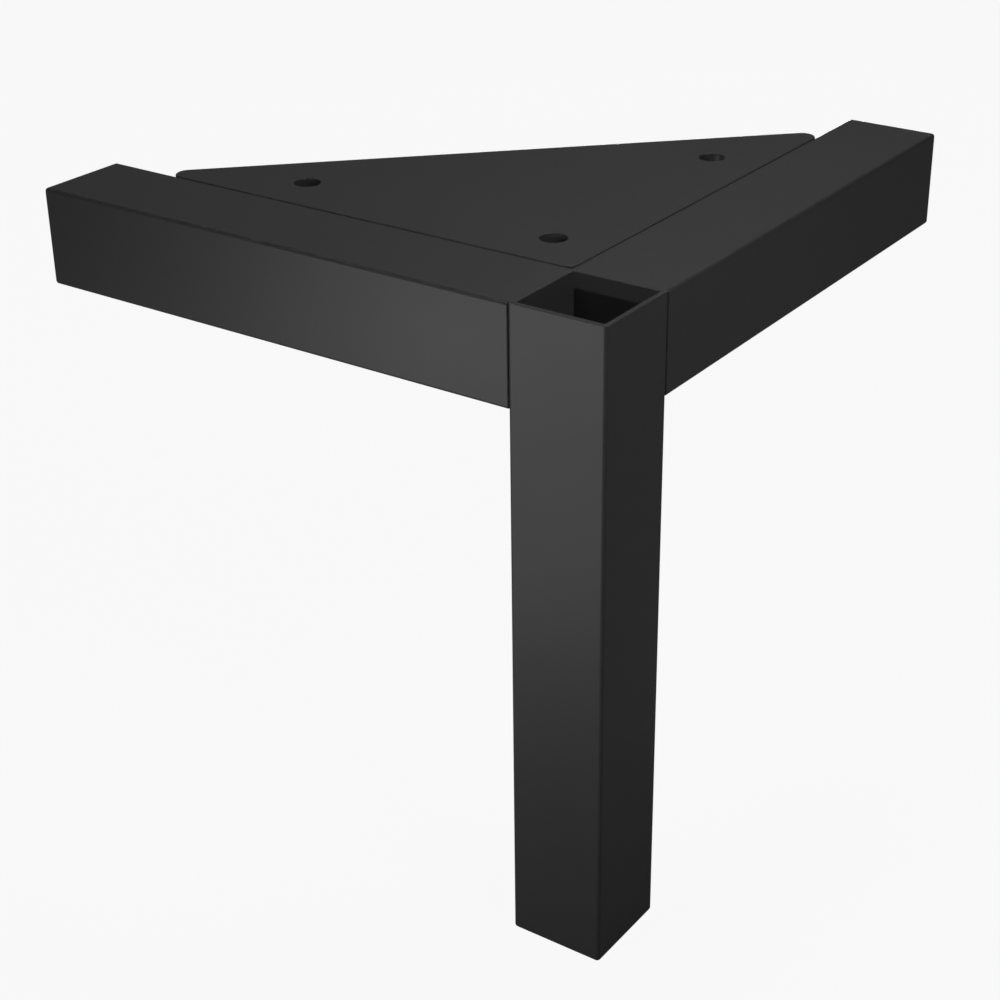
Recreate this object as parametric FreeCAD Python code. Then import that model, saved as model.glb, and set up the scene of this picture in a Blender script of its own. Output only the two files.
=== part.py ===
import FreeCAD, Part
import math
import os

# A corner leg for a low table or bench, welded from square steel tube. The upright leg
# tube stands on the floor. Two arm tubes butt against its back faces with their tops
# level with its top, and a triangular screw plate fills the corner between the arms.
#
# Frame, in millimetres: the origin is on the leg tube's axis at its foot, +Z is up, the
# right arm runs along +Y and the left arm along -X. The leg's outer faces look to +X
# and -Y.

# Square tube, the same for the leg and both arms
TUBE_WIDTH = 30.0
TUBE_WALL = 1.5
TUBE_CORNER_RADIUS = 1.0
BORE_CORNER_RADIUS = 0.4

# Height of the leg tube, and length of an arm from the leg's back face
LEG_HEIGHT = 200.0
ARM_LENGTH = 166.5

# Rounding of the sawn tube ends: at a free end, at the leg's top rim, and at the mouth of a bore
END_ROUND = 0.9
RIM_ROUND = 0.5
MOUTH_ROUND = 0.25

# Triangular plate, whose two equal sides lie against the arms' inner faces
PLATE_SIDE = 150.0
PLATE_THICKNESS = 3.0
PLATE_CORNER_RADIUS = 4.0
PLATE_EDGE_ROUND = 0.4

# Three screw holes, one in the plate's square corner and one along each arm
HOLE_DIAMETER = 8.0
HOLE_INSET = 17.0
HOLE_SPACING = 88.0

# Weld beads: width on each of the two faces that a bead joins, and how far its back
# stands off the flat line between its toes
BEAD_WIDTH = 3.0
BEAD_CROWN = 0.5

# How far a bead stays back from an outer face, which is on show, and from a hidden edge
SHOW_SETBACK = 10.0
HIDDEN_SETBACK = 2.5

# Stitch beads under the plate: their length, and how far they lie from its ends
STITCH_LENGTH = 24.0
STITCH_FROM_CORNER = 26.0
STITCH_FROM_TIP = 14.0

HALF_WIDTH = TUBE_WIDTH / 2
BORE_WIDTH = TUBE_WIDTH - 2 * TUBE_WALL
ARM_BOTTOM = LEG_HEIGHT - TUBE_WIDTH
ARM_AXIS_HEIGHT = LEG_HEIGHT - HALF_WIDTH
PLATE_BOTTOM = LEG_HEIGHT - PLATE_THICKNESS

LEFT = FreeCAD.Vector(-1, 0, 0)
BACK = FreeCAD.Vector(0, 1, 0)
UP = FreeCAD.Vector(0, 0, 1)
DOWN = FreeCAD.Vector(0, 0, -1)


def near(first, second):
    """Tell whether two lengths are the same."""
    return abs(first - second) < 1e-6


def rounded(shape, radius, test):
    """Round those edges of a shape whose middle point passes the test."""
    chosen = []
    for edge in shape.Edges:
        middle = edge.valueAt((edge.FirstParameter + edge.LastParameter) / 2)
        if test(middle):
            chosen.append(edge)
    return shape.makeFillet(radius, chosen)


def square_bar(width, height, radius):
    """Make a square bar around the Z axis with its four upright edges rounded."""
    half = width / 2
    bar = Part.makeBox(width, width, height, FreeCAD.Vector(-half, -half, 0))
    return rounded(bar, radius, lambda p: near(abs(p.x), half) and near(abs(p.y), half))


def hollowed(bar, height, open_ends):
    """Bore a bar right through, and ease the mouth of the bore at the heights given."""
    tube = bar.cut(square_bar(BORE_WIDTH, height, BORE_CORNER_RADIUS))
    half = BORE_WIDTH / 2
    ease = min(MOUTH_ROUND, 0.3 * TUBE_WALL)
    for z in open_ends:
        tube = rounded(tube, ease, lambda p: near(p.z, z) and near(p.x, half) and abs(p.y) < half / 2)
    return tube


def end_rounded(bar, z):
    """Round the outer edges of a bar's end at height z."""
    radius = min(END_ROUND, 0.6 * TUBE_WALL, 0.9 * TUBE_CORNER_RADIUS)
    return rounded(bar, radius, lambda p: near(p.z, z) and near(p.x, HALF_WIDTH))


def rim_block():
    """Make a block with the leg's outer faces, whose top edges there are rounded.

    It reaches past the leg's back faces and its foot, so the rounding stays off the edges
    that lie against the arms.
    """
    beyond = TUBE_WIDTH / 4
    size = TUBE_WIDTH + beyond
    corner = FreeCAD.Vector(-HALF_WIDTH - beyond, -HALF_WIDTH, -beyond)
    block = Part.makeBox(size, size, LEG_HEIGHT + beyond, corner)
    radius = min(RIM_ROUND, 0.5 * TUBE_WALL)
    block = rounded(block, TUBE_CORNER_RADIUS, lambda p: near(p.x, HALF_WIDTH) and near(p.y, -HALF_WIDTH))
    return rounded(block, radius, lambda p: near(p.z, LEG_HEIGHT) and near(p.y, -HALF_WIDTH))


def leg_tube():
    """Make the upright tube, open at its top and at its foot."""
    bar = square_bar(TUBE_WIDTH, LEG_HEIGHT, TUBE_CORNER_RADIUS)
    bar = end_rounded(bar, 0).common(rim_block())
    return hollowed(bar, LEG_HEIGHT, (0, LEG_HEIGHT))


def arm_tube(direction, turn_axis, angle):
    """Make an arm: a tube stood upright, turned flat and butted against the leg."""
    bar = square_bar(TUBE_WIDTH, ARM_LENGTH, TUBE_CORNER_RADIUS)
    tube = hollowed(end_rounded(bar, ARM_LENGTH), ARM_LENGTH, (ARM_LENGTH,))
    start = direction * HALF_WIDTH + UP * ARM_AXIS_HEIGHT
    turn = FreeCAD.Rotation(turn_axis, angle)
    return tube.transformShape(FreeCAD.Placement(start, turn).toMatrix(), True)


def on_plate(along_left, along_back, z):
    """Give the point at two distances from the plate's square corner, along the arms."""
    return FreeCAD.Vector(-HALF_WIDTH - along_left, HALF_WIDTH + along_back, z)


def mounting_plate():
    """Make the triangular plate, level with the tops of the arms, with its screw holes."""
    corners = [
        on_plate(0, 0, PLATE_BOTTOM),
        on_plate(PLATE_SIDE, 0, PLATE_BOTTOM),
        on_plate(0, PLATE_SIDE, PLATE_BOTTOM),
    ]
    outline = Part.makePolygon(corners + corners[:1])
    plate = Part.Face(outline).extrude(UP * PLATE_THICKNESS)
    middle = PLATE_BOTTOM + PLATE_THICKNESS / 2
    plate = rounded(plate, PLATE_CORNER_RADIUS, lambda p: near(p.z, middle))
    radius = min(PLATE_EDGE_ROUND, 0.4 * PLATE_THICKNESS)
    plate = rounded(plate, radius, lambda p: near(p.z, LEG_HEIGHT) and near(p.y, HALF_WIDTH))
    far = HOLE_INSET + HOLE_SPACING
    for along_left, along_back in ((HOLE_INSET, HOLE_INSET), (far, HOLE_INSET), (HOLE_INSET, far)):
        foot = on_plate(along_left, along_back, PLATE_BOTTOM)
        plate = plate.cut(Part.makeCylinder(HOLE_DIAMETER / 2, PLATE_THICKNESS, foot, UP))
    return plate


def round_ended_rod(radius, start, end):
    """Make a rod along the Z axis with a half ball at each end, centred at the two heights."""
    tip = radius * math.sqrt(0.5)
    first_ball = Part.Arc(
        FreeCAD.Vector(0, 0, start - radius),
        FreeCAD.Vector(tip, 0, start - tip),
        FreeCAD.Vector(radius, 0, start),
    )
    last_ball = Part.Arc(
        FreeCAD.Vector(radius, 0, end),
        FreeCAD.Vector(tip, 0, end + tip),
        FreeCAD.Vector(0, 0, end + radius),
    )
    side = Part.LineSegment(first_ball.EndPoint, last_ball.StartPoint)
    axis = Part.LineSegment(last_ball.EndPoint, first_ball.StartPoint)
    outline = Part.Wire([curve.toShape() for curve in (first_ball, side, last_ball, axis)])
    return Part.Face(outline).revolve(FreeCAD.Vector(0, 0, 0), UP, 360)


def weld_bead(start, first, second, length):
    """Lay a bead in the corner of two faces, along the cross product of its two toes.

    The bead is the part of a round-ended rod that stands clear of both faces. The rod's
    axis is buried behind the corner, so that the bead's back is flatter than a quarter
    circle and its ends taper away.
    """
    throat = BEAD_WIDTH / math.sqrt(2) + BEAD_CROWN
    buried = (BEAD_WIDTH**2 - throat**2) / (2 * (math.sqrt(2) * throat - BEAD_WIDTH))
    radius = math.hypot(BEAD_WIDTH + buried, buried)
    end = math.sqrt(radius**2 - 2 * buried**2)
    rod = round_ended_rod(radius, end, length - end)
    rod.translate(FreeCAD.Vector(-buried, -buried, 0))
    bead = rod.common(Part.makeBox(2 * radius, 2 * radius, length))
    run = first.cross(second)
    matrix = FreeCAD.Matrix(
        first.x, second.x, run.x, start.x,
        first.y, second.y, run.y, start.y,
        first.z, second.z, run.z, start.z,
        0, 0, 0, 1,
    )
    return bead.transformShape(matrix, True)


def arm_welds():
    """Make the beads that run across the underside of each arm, against the leg."""
    length = TUBE_WIDTH - SHOW_SETBACK - HIDDEN_SETBACK
    left_start = FreeCAD.Vector(-HALF_WIDTH, -HALF_WIDTH + SHOW_SETBACK, ARM_BOTTOM)
    right_start = FreeCAD.Vector(HALF_WIDTH - SHOW_SETBACK, HALF_WIDTH, ARM_BOTTOM)
    return {
        "left_arm_weld": weld_bead(left_start, DOWN, LEFT, length),
        "right_arm_weld": weld_bead(right_start, BACK, DOWN, length),
    }


def corner_weld():
    """Make the upright bead between the arms' inner faces, below the plate."""
    bottom = ARM_BOTTOM + HIDDEN_SETBACK
    length = PLATE_BOTTOM - HIDDEN_SETBACK - bottom
    return weld_bead(FreeCAD.Vector(-HALF_WIDTH, HALF_WIDTH, bottom), BACK, LEFT, length)


def plate_welds():
    """Make the stitch beads that hold the plate's underside to the arms' inner faces."""
    starts = {
        "front": STITCH_FROM_CORNER,
        "back": PLATE_SIDE - STITCH_FROM_TIP - STITCH_LENGTH,
    }
    welds = {}
    for place, start in starts.items():
        left_start = on_plate(start, 0, PLATE_BOTTOM)
        right_start = on_plate(0, start, PLATE_BOTTOM)
        welds["left_plate_weld_" + place] = weld_bead(left_start, BACK, DOWN, STITCH_LENGTH)
        welds["right_plate_weld_" + place] = weld_bead(right_start, DOWN, LEFT, STITCH_LENGTH)
    return welds


parts = {
    "leg_tube": leg_tube(),
    "left_arm_tube": arm_tube(LEFT, BACK, -90),
    "right_arm_tube": arm_tube(BACK, LEFT, 90),
    "mounting_plate": mounting_plate(),
    "corner_weld": corner_weld(),
}
parts.update(arm_welds())
parts.update(plate_welds())

os.makedirs("parts", exist_ok=True)
for name, shape in parts.items():
    shape.exportStep("parts/" + name + ".step")
    print(name, len(shape.Solids), "solid of", round(shape.Volume), "cubic mm")
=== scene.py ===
# %% [markdown]
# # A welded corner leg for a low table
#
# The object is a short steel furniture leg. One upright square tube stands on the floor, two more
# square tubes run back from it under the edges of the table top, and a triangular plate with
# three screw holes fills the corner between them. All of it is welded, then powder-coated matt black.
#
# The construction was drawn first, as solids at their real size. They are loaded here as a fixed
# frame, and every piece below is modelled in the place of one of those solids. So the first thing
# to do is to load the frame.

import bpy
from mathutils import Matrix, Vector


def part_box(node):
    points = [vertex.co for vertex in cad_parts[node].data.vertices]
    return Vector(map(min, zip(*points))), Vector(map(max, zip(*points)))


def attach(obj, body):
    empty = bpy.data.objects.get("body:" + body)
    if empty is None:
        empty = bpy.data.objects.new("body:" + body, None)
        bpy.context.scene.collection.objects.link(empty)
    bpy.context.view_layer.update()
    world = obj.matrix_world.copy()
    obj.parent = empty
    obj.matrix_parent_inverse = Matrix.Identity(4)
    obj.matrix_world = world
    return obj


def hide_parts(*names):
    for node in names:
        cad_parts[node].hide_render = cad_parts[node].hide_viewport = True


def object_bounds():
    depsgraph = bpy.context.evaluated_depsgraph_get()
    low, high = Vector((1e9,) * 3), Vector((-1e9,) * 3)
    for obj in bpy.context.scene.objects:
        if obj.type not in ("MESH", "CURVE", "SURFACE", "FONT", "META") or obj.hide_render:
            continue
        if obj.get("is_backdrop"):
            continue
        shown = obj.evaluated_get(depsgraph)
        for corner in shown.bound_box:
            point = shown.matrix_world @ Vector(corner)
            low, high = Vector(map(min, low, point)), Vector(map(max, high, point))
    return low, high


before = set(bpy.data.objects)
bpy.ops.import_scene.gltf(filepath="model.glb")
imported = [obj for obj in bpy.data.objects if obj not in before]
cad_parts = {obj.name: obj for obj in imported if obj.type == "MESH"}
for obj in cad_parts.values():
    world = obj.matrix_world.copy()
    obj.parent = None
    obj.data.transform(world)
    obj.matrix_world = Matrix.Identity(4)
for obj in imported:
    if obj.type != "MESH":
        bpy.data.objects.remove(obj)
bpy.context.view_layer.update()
print("nodes in the frame:", ", ".join(sorted(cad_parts)))

# %% [markdown]
# ## Sizes
#
# Blender works in metres, and steel is measured in millimetres, so one constant turns the second
# into the first. The outer sizes are read from the frame. What a box can't tell, such as the wall
# of the tube and the roundings, is named here and in the steps below, each once.
#
# The steel of the tube is 1.5 mm thick. Powder lies on both of its sides, so the wall that shows at
# the sawn rim is a little thicker, and the bore a little narrower, than on a bare tube.

# %% Read the sizes from the frame and name the rest
import math

import mathutils

MM = 0.001

leg_low, leg_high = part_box("leg_tube")
left_low, left_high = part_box("left_arm_tube")
plate_low, plate_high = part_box("mounting_plate")

TUBE_WIDTH = leg_high.x - leg_low.x
HALF_WIDTH = TUBE_WIDTH / 2
LEG_HEIGHT = leg_high.z
ARM_LENGTH = left_high.x - left_low.x
ARM_AXIS_HEIGHT = (left_low.z + left_high.z) / 2
PLATE_THICKNESS = plate_high.z - plate_low.z

STEEL_WALL = 1.5 * MM
COAT = 0.06 * MM
TUBE_WALL = STEEL_WALL + 2 * COAT
BORE_WIDTH = TUBE_WIDTH - 2 * TUBE_WALL
TUBE_CORNER_RADIUS = 1.0 * MM
BORE_CORNER_RADIUS = 0.4 * MM
CORNER_STEPS = 6
NEAR = 0.01 * MM

sizes = {
    "tube width": TUBE_WIDTH,
    "leg height": LEG_HEIGHT,
    "arm length": ARM_LENGTH,
    "plate thickness": PLATE_THICKNESS,
    "bore width": BORE_WIDTH,
}
for name, size in sizes.items():
    print(name, "in mm:", round(size / MM, 2))

# %% [markdown]
# ## Working in edit mode
#
# An operator acts on whatever is selected, as it does for someone who works by hand. Loading left
# the frame's solids selected, so each new piece starts from an empty selection. The helpers below
# open a piece for editing, and select those edges whose middle passes a test, such as lying on
# the top plane.

# %% Helpers for selecting
import bmesh
import bpy

SHARP_ANGLE = math.radians(60)
SMOOTH_ANGLE = math.radians(40)


def start_clean():
    """Leave edit mode and deselect everything."""
    if bpy.context.object and bpy.context.object.mode == "EDIT":
        bpy.ops.object.mode_set(mode="OBJECT")
    bpy.ops.object.select_all(action="DESELECT")


def named(name):
    """Give the active object a name, put its place into its mesh and open it for editing."""
    piece = bpy.context.object
    piece.name = name
    piece.data.name = name
    bpy.ops.object.transform_apply(location=True, rotation=True, scale=True)
    bpy.ops.object.mode_set(mode="EDIT")
    return piece


def select_edges(piece, test):
    """Select the sharp edges whose middle point passes the test, and say how many there are."""
    bpy.ops.mesh.select_mode(type="EDGE")
    bpy.ops.mesh.select_all(action="DESELECT")
    mesh = bmesh.from_edit_mesh(piece.data)
    count = 0
    for edge in mesh.edges:
        sharp = edge.calc_face_angle(0) > SHARP_ANGLE
        if sharp and test((edge.verts[0].co + edge.verts[1].co) / 2):
            edge.select_set(True)
            count += 1
    bmesh.update_edit_mesh(piece.data)
    return count


def round_edges(piece, radius, steps, test):
    """Round the edges that pass the test."""
    count = select_edges(piece, test)
    bpy.ops.mesh.bevel(offset=radius, segments=steps, affect="EDGES")
    print(piece.name, "rounded", count, "edges by", round(radius / MM, 2), "mm")


def finished(piece):
    """Leave edit mode and shade the piece so that flat faces stay flat beside their roundings."""
    bpy.ops.mesh.select_all(action="SELECT")
    bpy.ops.mesh.normals_make_consistent(inside=False)
    bpy.ops.object.mode_set(mode="OBJECT")
    bpy.ops.object.shade_smooth_by_angle(angle=SMOOTH_ANGLE)
    bpy.ops.object.modifier_add(type="WEIGHTED_NORMAL")
    bpy.context.object.modifiers[-1].keep_sharp = True
    bpy.ops.object.modifier_apply(modifier=bpy.context.object.modifiers[-1].name)
    print(piece.name, "has", len(piece.data.vertices), "points and", len(piece.data.polygons), "faces")
    return piece

# %% [markdown]
# ## Square steel tube
#
# The leg and the arms are cut from the same stock: 30 mm square tube. It is rolled from strip and
# welded along its length, which leaves its corners slightly round.
#
# One could take a long box, bore it and bevel what is left. It is cleaner to draw the section
# first: a square with rounded corners, and a smaller one for the bore. Both have the same
# number of points, so bridging them gives a ring of neat four-sided faces, and extruding that
# ring along the tube gives the walls in one go.

# %% Draw the section and extrude it
def round_outline(radius):
    """Round the corners of the square that is selected, and keep only its outline."""
    bpy.ops.mesh.bevel(offset=radius, segments=CORNER_STEPS, affect="VERTICES")
    bpy.ops.mesh.delete(type="ONLY_FACE")


def square_tube(name, centre, turn, run):
    """Make a square tube from its section at a centre, extruded along the run."""
    start_clean()
    bpy.ops.mesh.primitive_plane_add(size=TUBE_WIDTH, location=centre, rotation=turn)
    piece = named(name)
    bpy.ops.mesh.select_all(action="SELECT")
    round_outline(TUBE_CORNER_RADIUS)
    bpy.ops.mesh.primitive_plane_add(size=BORE_WIDTH, location=centre, rotation=turn)
    round_outline(BORE_CORNER_RADIUS)
    bpy.ops.mesh.select_all(action="SELECT")
    bpy.ops.mesh.bridge_edge_loops()
    bpy.ops.mesh.select_all(action="SELECT")
    bpy.ops.mesh.extrude_region_move(TRANSFORM_OT_translate={"value": run})
    return piece


def outer(first, second):
    """Tell whether a point of a section, given from the tube's axis, is on its outside."""
    return max(abs(first), abs(second)) > HALF_WIDTH - TUBE_CORNER_RADIUS / 2


def inner(first, second):
    """Tell whether a point of a section is on the bore."""
    return max(abs(first), abs(second)) < BORE_WIDTH / 2 + NEAR

# %% [markdown]
# ## The leg
#
# The upright tube is sawn square and open at both ends. The saw leaves sharp edges. They are
# broken with a file before coating, and the coating rounds them further. The rim is rounded only
# on the two faces that are on show. Its other two edges lie against the arms, where the joint was
# ground flush, so they stay flat and no line shows on top.
#
# The rim's rounding ends in the round corners beside the arms, just before the flat back faces
# begin. Had it run on to their long straight edges, it would have tilted the shading of those whole
# faces, and a thin line would have shown at the joints.

# %% Model the leg
END_ROUND = 0.9 * MM
END_STEPS = 5
RIM_ROUND = 0.2 * MM
RIM_STEPS = 4
RIM_FADE = 0.15 * MM
MOUTH_ROUND = 0.25 * MM
MOUTH_STEPS = 3


def at_foot(p):
    """Tell whether a point lies on the leg's lower sawn face."""
    return abs(p.z) < NEAR


def at_rim(p):
    """Tell whether a point lies on the leg's upper sawn face."""
    return abs(p.z - LEG_HEIGHT) < NEAR


def on_show(p):
    """Tell whether a point is clear of the leg's two back faces and of the corner between them."""
    from_left = p.x + HALF_WIDTH
    from_back = HALF_WIDTH - p.y
    return min(from_left, from_back) > RIM_FADE and max(from_left, from_back) > TUBE_CORNER_RADIUS


leg = square_tube("leg", (0, 0, 0), (0, 0, 0), (0, 0, LEG_HEIGHT))
round_edges(leg, END_ROUND, END_STEPS, lambda p: at_foot(p) and outer(p.x, p.y))
round_edges(leg, RIM_ROUND, RIM_STEPS, lambda p: at_rim(p) and outer(p.x, p.y) and on_show(p))
round_edges(leg, MOUTH_ROUND, MOUTH_STEPS, lambda p: at_foot(p) and inner(p.x, p.y))
round_edges(leg, MOUTH_ROUND, MOUTH_STEPS, lambda p: at_rim(p) and inner(p.x, p.y))
finished(leg)

# %% [markdown]
# ## The arms
#
# Each arm is a shorter length of the same tube, butted against one of the leg's back faces. Its
# free end is rounded like the foot. The left arm is modelled in its place, and the right arm is
# a copy of it with its own mesh, turned a quarter round the leg's axis.
#
# Where an arm meets the leg, its sawn edge is broken a little at the sides and below, but not on
# top, where the joint was ground flush. Together with the leg's round edge that leaves a narrow
# groove. The weld inside comes through to within half a millimetre of the face, so a strip of it
# is added to the arm as the floor of the groove.

# %% Model the left arm and turn a copy of it for the right arm
SEAM_ROUND = 0.4 * MM
SEAM_STEPS = 3
SEAM_DEPTH = 0.55 * MM
SEAM_FILL = 0.4 * MM


def at_free_end(p):
    """Tell whether a point lies on the sawn face of the left arm's free end."""
    return abs(p.x - left_low.x) < NEAR


def at_seam(p):
    """Tell whether a point lies on the left arm's butted end, below the flush top."""
    return abs(p.x + HALF_WIDTH) < NEAR and p.z < LEG_HEIGHT - RIM_FADE


def arm_outer(p):
    """Tell whether a point is on the outside of the left arm."""
    return outer(p.y, p.z - ARM_AXIS_HEIGHT)


def arm_inner(p):
    """Tell whether a point is on the bore of the left arm."""
    return inner(p.y, p.z - ARM_AXIS_HEIGHT)


def add_seam_fill(side):
    """Add the strip of weld that closes the groove at one side of the left arm."""
    from_axis = HALF_WIDTH - SEAM_DEPTH - SEAM_FILL / 2
    bpy.ops.mesh.primitive_cube_add(
        size=1,
        location=(-HALF_WIDTH, side * from_axis, ARM_AXIS_HEIGHT),
        scale=(SEAM_FILL, SEAM_FILL, TUBE_WIDTH - 2 * TUBE_CORNER_RADIUS),
    )


arm_start = (-HALF_WIDTH, 0, ARM_AXIS_HEIGHT)
left_arm = square_tube("left_arm", arm_start, (0, math.radians(90), 0), (-ARM_LENGTH, 0, 0))
round_edges(left_arm, END_ROUND, END_STEPS, lambda p: at_free_end(p) and arm_outer(p))
round_edges(left_arm, MOUTH_ROUND, MOUTH_STEPS, lambda p: at_free_end(p) and arm_inner(p))
round_edges(left_arm, SEAM_ROUND, SEAM_STEPS, lambda p: at_seam(p) and arm_outer(p))
for side in (-1, 1):
    add_seam_fill(side)
finished(left_arm)


def copied(source, name):
    """Copy a piece with its own mesh, and leave the copy active and alone selected."""
    start_clean()
    source.select_set(True)
    bpy.context.view_layer.objects.active = source
    bpy.ops.object.duplicate()
    copy = bpy.context.object
    copy.name = name
    copy.data.name = name
    return copy


right_arm = copied(left_arm, "right_arm")
right_arm.rotation_euler = (0, 0, math.radians(-90))
bpy.ops.object.transform_apply(location=True, rotation=True, scale=True)
print("right arm reaches", round(max(v.co.y for v in right_arm.data.vertices) / MM, 2), "mm back")

# %% [markdown]
# ## The screw plate
#
# The plate is laser-cut from 3 mm sheet: a right-angled triangle whose corners are rounded so that
# they don't catch. A rounded triangle is what a rubber band makes when it is stretched round
# three pegs. So three short cylinders are placed at the corners, and a convex hull wraps
# them. That gives even arcs that run into straight sides, which bevelling a sharp 45 degree tip
# doesn't.
#
# The holes are then cut right through with a Boolean modifier. The upper edges, where the coat is
# on show, are rounded last, and those of the holes less than the plate's own.

# %% Model the plate
PLATE_SIDE = 150 * MM
PLATE_CORNER_RADIUS = 4 * MM
PLATE_EDGE_ROUND = 0.4 * MM
PLATE_EDGE_STEPS = 4
HOLE_RADIUS = 4 * MM
HOLE_INSET = 17 * MM
HOLE_SPACING = 88 * MM
HOLE_EDGE_ROUND = 0.2 * MM
HOLE_EDGE_STEPS = 3
ROUND_STEPS = 64
DRILL_LENGTH = 3 * PLATE_THICKNESS
SAME_PLANE = math.radians(1)


def on_plate(along_left, along_back):
    """Give the point in the middle of the plate's thickness at two distances from its corner."""
    return (-HALF_WIDTH - along_left, HALF_WIDTH + along_back, plate_high.z - PLATE_THICKNESS / 2)


def add_post(place, radius, height):
    """Add an upright cylinder that is centred in the plate's thickness."""
    bpy.ops.mesh.primitive_cylinder_add(
        vertices=ROUND_STEPS, radius=radius, depth=height, location=on_plate(*place)
    )


def posts(name, places, radius, height):
    """Make a piece of upright cylinders and leave it open for editing."""
    start_clean()
    add_post(places[0], radius, height)
    piece = named(name)
    for place in places[1:]:
        add_post(place, radius, height)
    bpy.ops.mesh.select_all(action="SELECT")
    return piece


near_peg = PLATE_CORNER_RADIUS
far_peg = PLATE_SIDE - PLATE_CORNER_RADIUS * (1 + math.sqrt(2))
pegs = ((near_peg, near_peg), (far_peg, near_peg), (near_peg, far_peg))
plate = posts("plate", pegs, PLATE_CORNER_RADIUS, PLATE_THICKNESS)
bpy.ops.mesh.convex_hull()
bpy.ops.mesh.dissolve_limited(angle_limit=SAME_PLANE)

far_hole = HOLE_INSET + HOLE_SPACING
holes = ((HOLE_INSET, HOLE_INSET), (far_hole, HOLE_INSET), (HOLE_INSET, far_hole))
drill = posts("drill", holes, HOLE_RADIUS, DRILL_LENGTH)
bpy.ops.object.mode_set(mode="OBJECT")

start_clean()
plate.select_set(True)
bpy.context.view_layer.objects.active = plate
bpy.ops.object.modifier_add(type="BOOLEAN")
plate.modifiers[-1].object = drill
bpy.ops.object.modifier_apply(modifier=plate.modifiers[-1].name)
bpy.data.objects.remove(drill)
bpy.ops.object.mode_set(mode="EDIT")


def on_top(p):
    """Tell whether a point lies on the plate's upper face."""
    return abs(p.z - plate_high.z) < NEAR


def in_hole(p):
    """Tell whether a point lies on or in one of the holes."""
    return any(math.dist(p.xy, on_plate(*place)[:2]) < HOLE_RADIUS + NEAR for place in holes)


round_edges(plate, PLATE_EDGE_ROUND, PLATE_EDGE_STEPS, lambda p: on_top(p) and not in_hole(p))
round_edges(plate, HOLE_EDGE_ROUND, HOLE_EDGE_STEPS, lambda p: on_top(p) and in_hole(p))
finished(plate)

# %% [markdown]
# ## The shape of a weld bead
#
# A bead is laid along each inside corner where two parts meet. The wire melts into a small pool
# that freezes in steps, so the bead is a fillet whose back carries close crescent ripples, and it
# tapers away at both ends. A hand never moves quite evenly, so the ripples lie closer here and
# wider there, and the back swells and sinks a little. The beads sit where they don't show from the
# front: under the arms, in the corner between them and under the plate.
#
# The outline of the bead along its run is drawn point by point with extrude, one little hump
# for each step of the pool. Spin then sweeps it from one toe to the other around a line that
# is buried in the corner, which makes the bead flatter than a quarter of a rod.

# %% List the points along a bead
BEAD_WIDTH = 3 * MM
BEAD_CROWN = 0.5 * MM
RIPPLE_PITCH = 1.2 * MM
RIPPLE_DEPTH = 0.09 * MM
RIPPLE_STEPS = 6
RIPPLE_SHARPNESS = 0.7
UNEVEN = 0.25 * MM
UNEVEN_WAVES = 3
WANDER_PITCH = 8.3 * MM
WANDER_DEPTH = 0.16 * MM

throat = BEAD_WIDTH / math.sqrt(2) + BEAD_CROWN
buried = (BEAD_WIDTH**2 - throat**2) / (2 * (math.sqrt(2) * throat - BEAD_WIDTH))
bead_radius = math.hypot(BEAD_WIDTH + buried, buried)
toe_radius = buried * math.sqrt(2)
taper = math.sqrt(bead_radius**2 - toe_radius**2)
print("bead radius", round(bead_radius / MM, 2), "mm around a line", round(buried / MM, 2), "mm deep")


def bead_outline(length):
    """List the distance from the buried line and the height of each point along a bead."""
    count = round(length / RIPPLE_PITCH) * RIPPLE_STEPS
    points = []
    for step in range(count + 1):
        part = step / count
        height = length * part + UNEVEN * math.sin(2 * math.pi * UNEVEN_WAVES * part)
        phase = (step % RIPPLE_STEPS) / RIPPLE_STEPS
        ripple = RIPPLE_DEPTH * (1 - math.sin(math.pi * phase) ** RIPPLE_SHARPNESS)
        wander = WANDER_DEPTH * math.sin(math.pi * height / WANDER_PITCH) ** 2
        into_taper = max(0, taper - min(height, length - height))
        reach = math.sqrt(max(bead_radius**2 - into_taper**2, 0))
        points.append((max(reach - ripple - wander, toe_radius), height))
    return points

# %% [markdown]
# ## Modelling the bead
#
# Extrude needs a point to start from, and none of Blender's own operators adds a single one. So a
# small plane is added and merged into its centre.
#
# The swept skin is a stretch of pipe. Its ripples are first bent into crescents, because the middle
# of the pool freezes a little later than its edges. Everything inside the steel is then cut away
# with bisect, once along each of the two faces. That leaves an open shell, and its rim is pulled
# in to the corner line, which closes the bead flat against both faces.

# %% Sweep, bend, cut and close
SWEEP_STEPS = 16
CRESCENT = 0.6 * MM
SEED_SIZE = 1 * MM
SAME_POINT = 0.001 * MM


def bend_ripples(piece, length):
    """Move the middle of each ripple along, so that it becomes a crescent."""
    mesh = bmesh.from_edit_mesh(piece.data)
    for point in mesh.verts:
        angle = math.atan2(point.co.y + buried, point.co.x + buried)
        room = min(point.co.z, length - point.co.z, 2 * CRESCENT) / (2 * CRESCENT)
        point.co.z += CRESCENT * room * (math.sin(2 * angle) - 0.5)
    bmesh.update_edit_mesh(piece.data)


def close_bead():
    """Close the bead with its two flat sides, which lie against the steel."""
    bpy.ops.mesh.select_all(action="SELECT")
    bpy.ops.mesh.remove_doubles(threshold=SAME_POINT)
    bpy.ops.mesh.select_mode(type="EDGE")
    bpy.ops.mesh.select_all(action="DESELECT")
    bpy.ops.mesh.select_non_manifold()
    bpy.ops.mesh.extrude_region_move()
    bpy.ops.transform.resize(value=(0, 0, 1), center_override=(0, 0, 0))
    bpy.ops.mesh.select_all(action="SELECT")
    bpy.ops.mesh.remove_doubles(threshold=SAME_POINT)


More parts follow.
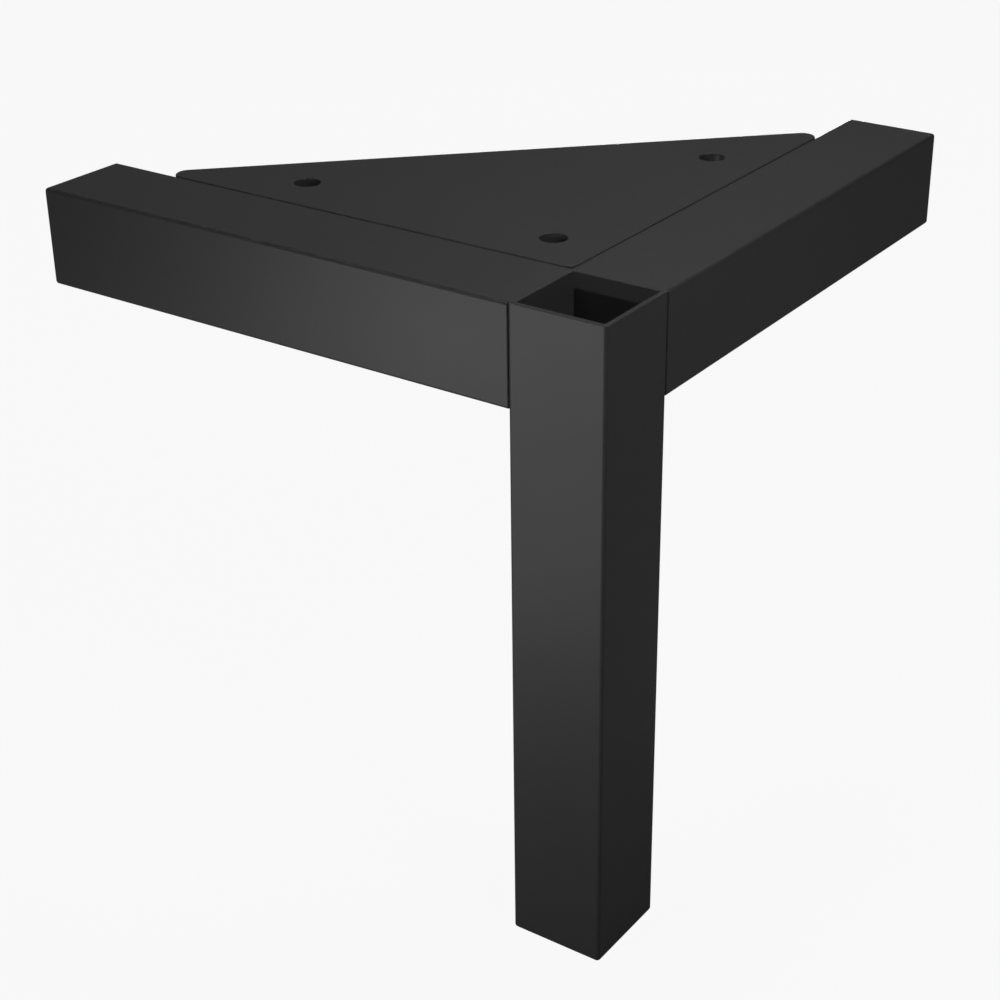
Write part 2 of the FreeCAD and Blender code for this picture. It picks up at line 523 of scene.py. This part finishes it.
def weld_bead(name, length):
    """Model a bead that runs up from the origin in the corner of the faces x = 0 and y = 0."""
    points = bead_outline(length)
    first_reach = points[0][0]
    start_clean()
    bpy.ops.mesh.primitive_plane_add(size=SEED_SIZE, location=(first_reach - buried, -buried, 0))
    piece = named(name)
    bpy.ops.mesh.select_mode(type="VERT")
    bpy.ops.mesh.select_all(action="SELECT")
    bpy.ops.mesh.merge(type="CENTER")
    for (reach, height), (next_reach, next_height) in zip(points, points[1:]):
        step = (next_reach - reach, 0, next_height - height)
        bpy.ops.mesh.extrude_region_move(TRANSFORM_OT_translate={"value": step})
    bpy.ops.mesh.select_all(action="SELECT")
    bpy.ops.mesh.spin(
        steps=SWEEP_STEPS, angle=math.radians(-90), center=(-buried, -buried, 0), axis=(0, 0, 1)
    )
    bend_ripples(piece, length)
    for side in ((1, 0, 0), (0, 1, 0)):
        bpy.ops.mesh.select_all(action="SELECT")
        bpy.ops.mesh.bisect(plane_co=(0, 0, 0), plane_no=side, clear_inner=True)
    close_bead()
    return finished(piece)

# %% [markdown]
# ## Laying the beads
#
# The beads come in three lengths. Each length is modelled once, and copies of it are turned into
# their seams. A seam is told by the directions of the bead's two toes. The bead runs along their
# cross product, and its place and length are those of the frame's own plain bead there.

# %% Copy a bead to each seam
LEFT = mathutils.Vector((-1, 0, 0))
BACK = mathutils.Vector((0, 1, 0))
DOWN = mathutils.Vector((0, 0, -1))

seams = {
    "corner_weld": (BACK, LEFT),
    "left_arm_weld": (DOWN, LEFT),
    "right_arm_weld": (BACK, DOWN),
    "left_plate_weld_front": (BACK, DOWN),
    "left_plate_weld_back": (BACK, DOWN),
    "right_plate_weld_front": (DOWN, LEFT),
    "right_plate_weld_back": (DOWN, LEFT),
}


def laid_bead(source, name, first, second, low, high):
    """Copy a bead into the seam that fills a box, with its toes along two directions."""
    run = first.cross(second)
    towards = first + second + run
    start = [low[axis] if towards[axis] > 0 else high[axis] for axis in range(3)]
    copy = copied(source, name)
    turn = mathutils.Matrix((first, second, run)).transposed().to_4x4()
    copy.matrix_world = mathutils.Matrix.Translation(start) @ turn
    bpy.ops.object.transform_apply(location=True, rotation=True, scale=True)
    return copy


models = {}
beads = {}
for node, (first, second) in seams.items():
    low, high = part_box(node)
    length = round(max(high - low) / MM, 3) * MM
    if length not in models:
        models[length] = weld_bead("bead_model", length)
    name = node.replace("weld", "bead")
    beads[node] = laid_bead(models[length], name, first, second, low, high)
for model in models.values():
    bpy.data.objects.remove(model)
print(len(models), "lengths of bead laid in", len(beads), "seams")

# %% [markdown]
# ## Working with nodes
#
# A material is a small network of nodes. Colours are picked as they look on a screen, and shaders
# count in amounts of light, so one function turns the first into the second. Another adds a node
# of any kind with its settings and links in one go. That keeps a material short enough to read
# from top to bottom, in the order in which it would be built by hand.

# %% Helpers for materials
def linear(code):
    """Turn an sRGB hex colour into the linear red, green, blue and alpha that a shader takes."""
    channels = [int(code[i:i + 2], 16) / 255 for i in (1, 3, 5)]
    curved = [c / 12.92 if c <= 0.04045 else ((c + 0.055) / 1.055) ** 2.4 for c in channels]
    return (*curved, 1.0)


def add_node(tree, kind, inputs=None, **settings):
    """Add a node, set its settings and its inputs, and link those inputs that come from a socket."""
    node = tree.nodes.new(kind)
    for key, value in settings.items():
        setattr(node, key, value)
    for key, value in (inputs or {}).items():
        if isinstance(value, bpy.types.NodeSocket):
            tree.links.new(value, node.inputs[key])
        else:
            node.inputs[key].default_value = value
    return node


def new_material(name):
    """Make a node material without nodes, and give it and its node tree."""
    material = bpy.data.materials.new(name)
    material.use_nodes = True
    material.node_tree.nodes.clear()
    return material, material.node_tree

# %% [markdown]
# ## Powder coating
#
# The finish is a matt black polyester powder coating: dry powder is sprayed on, held by static
# charge, and baked until it flows into one skin, 60 to 80 micrometres thick. It doesn't flow quite
# level. It keeps a faint orange peel of a millimetre or two, and under that a very fine grain
# from the matting agent, which spreads the gloss. At rounded edges surface tension pulls the melt
# thin, so there it is a little smoother.
#
# So the colour is a neutral dark grey, and the rest is done with roughness and bump: a broad
# cloudiness from the baking, the orange peel, and the fine grain. They are made from noise on
# Object coordinates, so each pattern has a real size in millimetres on every piece. The real grain
# is a few hundredths of a millimetre across. That is too fine for the picture, so it is drawn
# about ten times coarser.
#
# All the flat faces but the plate's long edge lie along the axes. So where the normal leaves the
# axes, the coat is as a rule on a rounded edge, and a mask for the edges needs no more than that.

# %% Find the edges
ALONG_AXIS = 0.99
OFF_AXIS = 0.85


def edge_mask(tree, normal):
    """Give 0 on faces that lie along the axes and 1 where the surface turns between them."""
    parts = add_node(tree, "ShaderNodeSeparateXYZ", {"Vector": normal}).outputs
    largest = 0.0
    for axis in "XYZ":
        size = add_node(tree, "ShaderNodeMath", {0: parts[axis]}, operation="ABSOLUTE")
        either = {0: size.outputs["Value"], 1: largest}
        largest = add_node(tree, "ShaderNodeMath", either, operation="MAXIMUM").outputs["Value"]
    ramp = {"Value": largest, "From Min": ALONG_AXIS, "From Max": OFF_AXIS}
    return add_node(tree, "ShaderNodeMapRange", ramp).outputs["Result"]

# %% Mix the powder coating
COAT_COLOUR = "#343434"
COAT_COLOUR_PALE = "#373737"
COAT_IOR = 1.5
COAT_GLOSS = 0.16
SMOOTHEST = 0.385
ROUGHEST = 0.415
EDGE_SMOOTHING = -0.03

CLOUD_SIZE = 35 * MM
CLOUD_DETAIL = 3.0
PEEL_SIZE = 1.8 * MM
PEEL_DETAIL = 1.0
PEEL_HEIGHT = 0.010 * MM
PEEL_ON_FACES = 0.3
PEEL_ON_EDGES = 0.1
GRAIN_SIZE = 0.35 * MM
GRAIN_DETAIL = 2.0
GRAIN_HEIGHT = 0.004 * MM
GRAIN_STRENGTH = 0.3
NOISE_LOW = 0.3
NOISE_HIGH = 0.7


def powder_coating():
    """Make the matt black powder coating."""
    material, tree = new_material("powder_coat_matt_black")
    coordinates = add_node(tree, "ShaderNodeTexCoord").outputs
    edge = edge_mask(tree, coordinates["Normal"])

    patterns = []
    for size, detail in (
        (CLOUD_SIZE, CLOUD_DETAIL),
        (PEEL_SIZE, PEEL_DETAIL),
        (GRAIN_SIZE, GRAIN_DETAIL),
    ):
        pattern = {"Vector": coordinates["Object"], "Scale": 1 / size, "Detail": detail}
        patterns.append(add_node(tree, "ShaderNodeTexNoise", pattern).outputs["Fac"])
    cloud, peel, grain = patterns

    colours = {0: cloud, 6: linear(COAT_COLOUR), 7: linear(COAT_COLOUR_PALE)}
    colour = add_node(tree, "ShaderNodeMix", colours, data_type="RGBA").outputs[2]

    clouding = {
        "Value": cloud,
        "From Min": NOISE_LOW,
        "From Max": NOISE_HIGH,
        "To Min": SMOOTHEST,
        "To Max": ROUGHEST,
    }
    cloudy = add_node(tree, "ShaderNodeMapRange", clouding).outputs["Result"]
    smoothing = {0: edge, 1: EDGE_SMOOTHING, 2: cloudy}
    roughness = add_node(tree, "ShaderNodeMath", smoothing, operation="MULTIPLY_ADD").outputs["Value"]

    fading = {"Value": edge, "To Min": PEEL_ON_FACES, "To Max": PEEL_ON_EDGES}
    strength = add_node(tree, "ShaderNodeMapRange", fading).outputs["Result"]
    waves = {"Height": peel, "Strength": strength, "Distance": PEEL_HEIGHT}
    peeled = add_node(tree, "ShaderNodeBump", waves).outputs["Normal"]
    specks = {
        "Height": grain,
        "Strength": GRAIN_STRENGTH,
        "Distance": GRAIN_HEIGHT,
        "Normal": peeled,
    }
    grained = add_node(tree, "ShaderNodeBump", specks).outputs["Normal"]

    coat = {
        "Base Color": colour,
        "Roughness": roughness,
        "IOR": COAT_IOR,
        "Specular IOR Level": COAT_GLOSS,
        "Normal": grained,
    }
    shader = add_node(tree, "ShaderNodeBsdfPrincipled", coat)
    add_node(tree, "ShaderNodeOutputMaterial", {"Surface": shader.outputs["BSDF"]})
    print("material", material.name, "with", len(tree.nodes), "nodes")
    return material


powder_coat = powder_coating()

# %% [markdown]
# ## Putting the pieces in the frame
#
# Each piece takes the place of the solid that it was modelled on, which is hidden. It rides on the
# frame's one body and wears the powder coat.

# %% Dress the frame
def dress(piece, *nodes):
    """Coat a piece, let it ride on the frame and let it stand for its nodes."""
    piece.data.materials.clear()
    piece.data.materials.append(powder_coat)
    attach(piece, "root")
    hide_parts(*nodes)


dress(leg, "leg_tube")
dress(left_arm, "left_arm_tube")
dress(right_arm, "right_arm_tube")
dress(plate, "mounting_plate")
for node, bead in beads.items():
    dress(bead, node)

# %% [markdown]
# ## Floor and backdrop
#
# The leg stands on a wide sheet of pale paper. In a product picture the paper is burnt out to
# white. More light would do that too, but it would also wash out the leg. So the camera is told to
# see the paper as nearly white by itself, and what is left of its true colour carries the leg's
# soft shadow. Mirror-like rays see that white as well, but dimmed: a dark coat shows a pale
# floor as a faint veil, and a studio keeps it faint with black cards beside the object.

# %% Lay the floor
PAPER_COLOUR = "#A4A4A4"
WHITE = "#FFFFFF"
WHITE_SHARE = 0.93
VEIL = 0.05
FLOOR_SIDE = 12.0


def white_share(tree):
    """Give 1 to what the camera sees, straight or through glass, and a share to what a gloss sees."""
    rays = add_node(tree, "ShaderNodeLightPath").outputs
    straight = {0: rays["Is Camera Ray"], 1: rays["Is Transmission Ray"]}
    seen = add_node(tree, "ShaderNodeMath", straight, operation="MAXIMUM").outputs["Value"]
    mirrored = {0: rays["Is Glossy Ray"], 1: VEIL, 2: seen}
    return add_node(tree, "ShaderNodeMath", mirrored, operation="MULTIPLY_ADD").outputs["Value"]


start_clean()
bpy.ops.mesh.primitive_plane_add(size=FLOOR_SIDE, location=(0, 0, 0))
floor = bpy.context.object
floor.name = "floor"
floor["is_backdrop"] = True

floor_material, tree = new_material("pale_paper_floor")
paper = add_node(tree, "ShaderNodeBsdfDiffuse", {"Color": linear(PAPER_COLOUR)})
glow = add_node(tree, "ShaderNodeEmission", {"Color": linear(WHITE), "Strength": 1.0})
share = add_node(tree, "ShaderNodeMath", {0: white_share(tree), 1: WHITE_SHARE}, operation="MULTIPLY")
both = {0: share.outputs["Value"], 1: paper.outputs["BSDF"], 2: glow.outputs["Emission"]}
mix = add_node(tree, "ShaderNodeMixShader", both)
add_node(tree, "ShaderNodeOutputMaterial", {"Surface": mix.outputs["Shader"]})
floor.data.materials.append(floor_material)
print("floor", FLOOR_SIDE, "m wide")

# %% [markdown]
# ## The room beyond the paper
#
# Blender's world stands for the room round the table. It gives the leg a little light from all
# sides, so that nothing is quite black. The camera sees it in the paper's own white, so the far
# edge of the paper doesn't show from low down.

# %% Fill the room
ROOM_LIGHT = 0.05

world = bpy.data.worlds.new("studio")
bpy.context.scene.world = world
world.use_nodes = True
tree = world.node_tree
tree.nodes.clear()
room = add_node(tree, "ShaderNodeBackground", {"Color": linear(WHITE), "Strength": ROOM_LIGHT})
white = add_node(tree, "ShaderNodeBackground", {"Color": linear(WHITE), "Strength": WHITE_SHARE})
both = {0: white_share(tree), 1: room.outputs["Background"], 2: white.outputs["Background"]}
mix = add_node(tree, "ShaderNodeMixShader", both)
add_node(tree, "ShaderNodeOutputWorld", {"Surface": mix.outputs["Shader"]})
print("room light", ROOM_LIGHT, "and", WHITE_SHARE, "to the camera")

# %% [markdown]
# ## Lamps
#
# A matt black thing is drawn by its gloss more than by its colour, so each lamp has a face to draw.
# A low strip in front is mirrored by the front face near the leg's head, and fades along the
# arm. A smaller one close to the foot carries it on down the leg. A softbox high at the back lights
# the tops, a small one above on the right keeps the right faces from going black, and a wide weak
# one above in front evens out the rest. A slim lamp far in front stands barely above the rim, so
# its light reaches only a few millimetres into the bore. One more strip, low behind the leg, draws
# the faces that only the other sides show.
#
# A lamp is placed by its compass turn from the front, its height angle and its distance, as a
# photographer would pace it out. Its spread is the angle that its light fans out over: a narrow one
# stands for a grid on the lamp, which keeps the light off the faces beside the one it is meant for.

# %% Set the lamps
def around(point, turn, rise, distance):
    """Give the place at a distance from a point, turned from the front to the right and raised."""
    level = distance * math.cos(math.radians(rise))
    step = (
        level * math.sin(math.radians(turn)),
        -level * math.cos(math.radians(turn)),
        distance * math.sin(math.radians(rise)),
    )
    return mathutils.Vector(point) + mathutils.Vector(step)


def add_lamp(name, place, aim, wide, high, power, spread=180):
    """Add an oblong area lamp that faces a point and that the camera doesn't see."""
    start_clean()
    bpy.ops.object.light_add(type="AREA", location=place)
    lamp = bpy.context.object
    lamp.name = name
    lamp.data.shape = "RECTANGLE"
    lamp.data.size = wide
    lamp.data.size_y = high
    lamp.data.energy = power
    lamp.data.spread = math.radians(spread)
    lamp.visible_camera = False
    lamp.rotation_euler = (lamp.location - mathutils.Vector(aim)).to_track_quat("Z", "Y").to_euler()
    print(name, "gives", power, "W at", [round(v, 2) for v in place])


def on_axis(height):
    """Give the point on the leg's axis at a height."""
    return (0, 0, height)


shin = on_axis(0.6 * LEG_HEIGHT)
below_rim = on_axis(0.75 * LEG_HEIGHT)
rim = on_axis(LEG_HEIGHT)
right_side = (0, 20 * MM, 0.95 * LEG_HEIGHT)
middle = (-30 * MM, 20 * MM, 0.7 * LEG_HEIGHT)

add_lamp(
    "low_strip", around(on_axis(0.06), turn=-31, rise=0, distance=0.4),
    aim=below_rim, wide=0.20, high=0.08, power=0.198, spread=110,
)
add_lamp(
    "near_strip", around(on_axis(0.03), turn=-25, rise=0, distance=0.2),
    aim=shin, wide=0.12, high=0.04, power=0.019, spread=110,
)
add_lamp(
    "right_softbox", around(right_side, turn=75, rise=45, distance=0.45),
    aim=right_side, wide=0.15, high=0.15, power=0.15, spread=70,
)
add_lamp(
    "back_softbox", around(middle, turn=200, rise=60, distance=1.6),
    aim=middle, wide=0.40, high=0.40, power=9.7,
)
add_lamp(
    "front_softbox", around(middle, turn=-20, rise=45, distance=1.2),
    aim=middle, wide=0.50, high=0.50, power=0.85,
)
add_lamp(
    "slim_front_lamp", around(rim, turn=0, rise=9.75, distance=1.0),
    aim=rim, wide=0.06, high=0.03, power=0.038, spread=24,
)
add_lamp(
    "back_strip", around(on_axis(0.08), turn=205, rise=0, distance=0.8),
    aim=below_rim, wide=0.50, high=0.14, power=0.3, spread=40,
)

# %% [markdown]
# ## The camera
#
# The camera stands in front of the leg and to its right, above it, and looks down on it. The focal
# length is that of a short telephoto lens, and the picture is shifted a little in its frame. All of
# these values come from fitting the edges of the solids to the edges in the photograph.

# %% Place the camera
CAMERA_PLACE = (0.25703, -0.40269, 0.38555)
CAMERA_AZIMUTH = 33.822
CAMERA_DOWN = 27.521
CAMERA_ROLL = -0.087
FOCAL_LENGTH = 71.683
SHIFT_RIGHT = -0.0474
SHIFT_UP = 0.016

start_clean()
bpy.ops.object.camera_add(
    location=CAMERA_PLACE,
    rotation=(math.radians(90 - CAMERA_DOWN), 0, math.radians(CAMERA_AZIMUTH)),
)
camera = bpy.context.object
camera.rotation_euler.rotate_axis("Z", math.radians(CAMERA_ROLL))
camera.data.lens = FOCAL_LENGTH
camera.data.shift_x = SHIFT_RIGHT
camera.data.shift_y = SHIFT_UP
camera.data.clip_start = 10 * MM
bpy.context.scene.camera = camera
bpy.context.scene.view_settings.view_transform = "Standard"
print("camera", round(math.dist(CAMERA_PLACE, (0, 0, LEG_HEIGHT)), 2), "m from the leg's head")

# %% [markdown]
# ## Closing the file
#
# The box of the finished pieces is printed at the end.

# %% Write the sizes and finish
low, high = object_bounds()
print("visual box in mm:", [round(v / MM, 2) for v in (*low, *high)])
